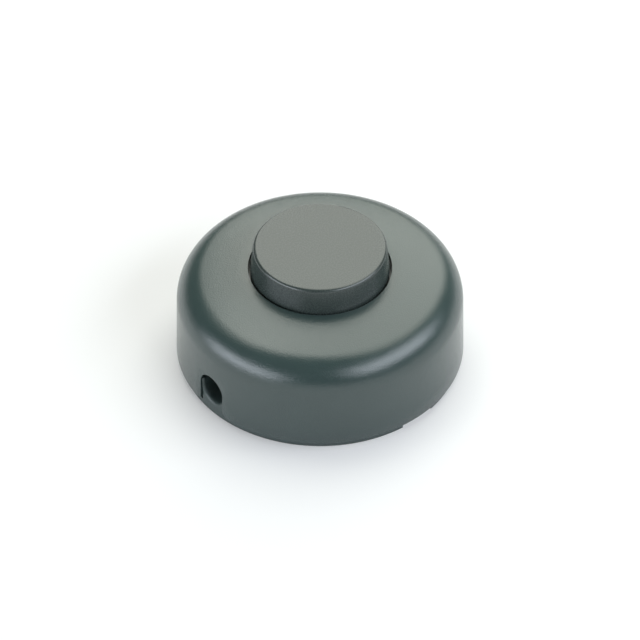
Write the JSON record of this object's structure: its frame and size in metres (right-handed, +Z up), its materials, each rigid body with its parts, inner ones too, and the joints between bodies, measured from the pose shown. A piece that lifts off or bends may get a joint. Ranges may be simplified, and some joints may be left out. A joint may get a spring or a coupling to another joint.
{
  "type": "inline foot switch",
  "caption": "Round floor switch that sits in a lamp cord: low housing with a cord entry at each end and a large push button that turns a ratchet contact wheel.",
  "frame": {"origin": "centre of the footprint on the floor, on the button's axis", "axes": "+Z up along the button's axis; X along the cord, from one cord entry to the other"},
  "size_m": [0.0596, 0.06, 0.0278],
  "materials": {
    "cover_plastic": "spark-eroded satin",
    "button_plastic": "fine satin",
    "base_plastic": "satin",
    "acetal": "smooth moulded",
    "rotor_plastic": "smooth moulded",
    "spring_steel": "drawn wire",
    "plated_steel": "zinc plated",
    "brass": "machined",
    "contact_bronze": "stamped strip",
    "contact_silver": "coined",
    "foot_rubber": "matt"
  },
  "bodies": {
    "housing": {"cover": "cover_plastic", "base": "base_plastic", "return_spring": "spring_steel", "spring_washer": "plated_steel", "contact_tips": "contact_silver", "neutral_terminal": "brass", "terminal_screws": "plated_steel", "clamp_screws": "plated_steel", "case_screws": "plated_steel", "contact_spring_in": "contact_bronze", "contact_spring_out": "contact_bronze", "terminal_in": "brass", "terminal_out": "brass", "cord_clamp_in": "acetal", "cord_clamp_out": "acetal", "foot_pad_1": "foot_rubber", "foot_pad_2": "foot_rubber", "foot_pad_3": "foot_rubber", "foot_pad_4": "foot_rubber"},
    "push_button": {"button": "button_plastic", "pawl_carrier": "acetal"},
    "contact_wheel": {"rotor": "rotor_plastic", "contact_star": "contact_bronze", "star_rivets": "brass"}
  },
  "joints": [
    {"name": "button_press", "type": "slide", "parent": "housing", "child": "push_button", "axis": [0, 0, -1], "range_m": [0, 0.0035], "stiffness_N_per_m": 800, "springref_m": -0.002, "deforming": ["return_spring"]},
    {"name": "rotor_turn", "type": "hinge", "parent": "housing", "child": "contact_wheel", "pos_m": [0, 0, 0.008], "axis": [0, 0, 1], "range_deg": [0, 45]}
  ],
  "couplings": [
    {"joint": "rotor_turn", "follows": "button_press", "rad_per_m": 174.5}
  ]
}
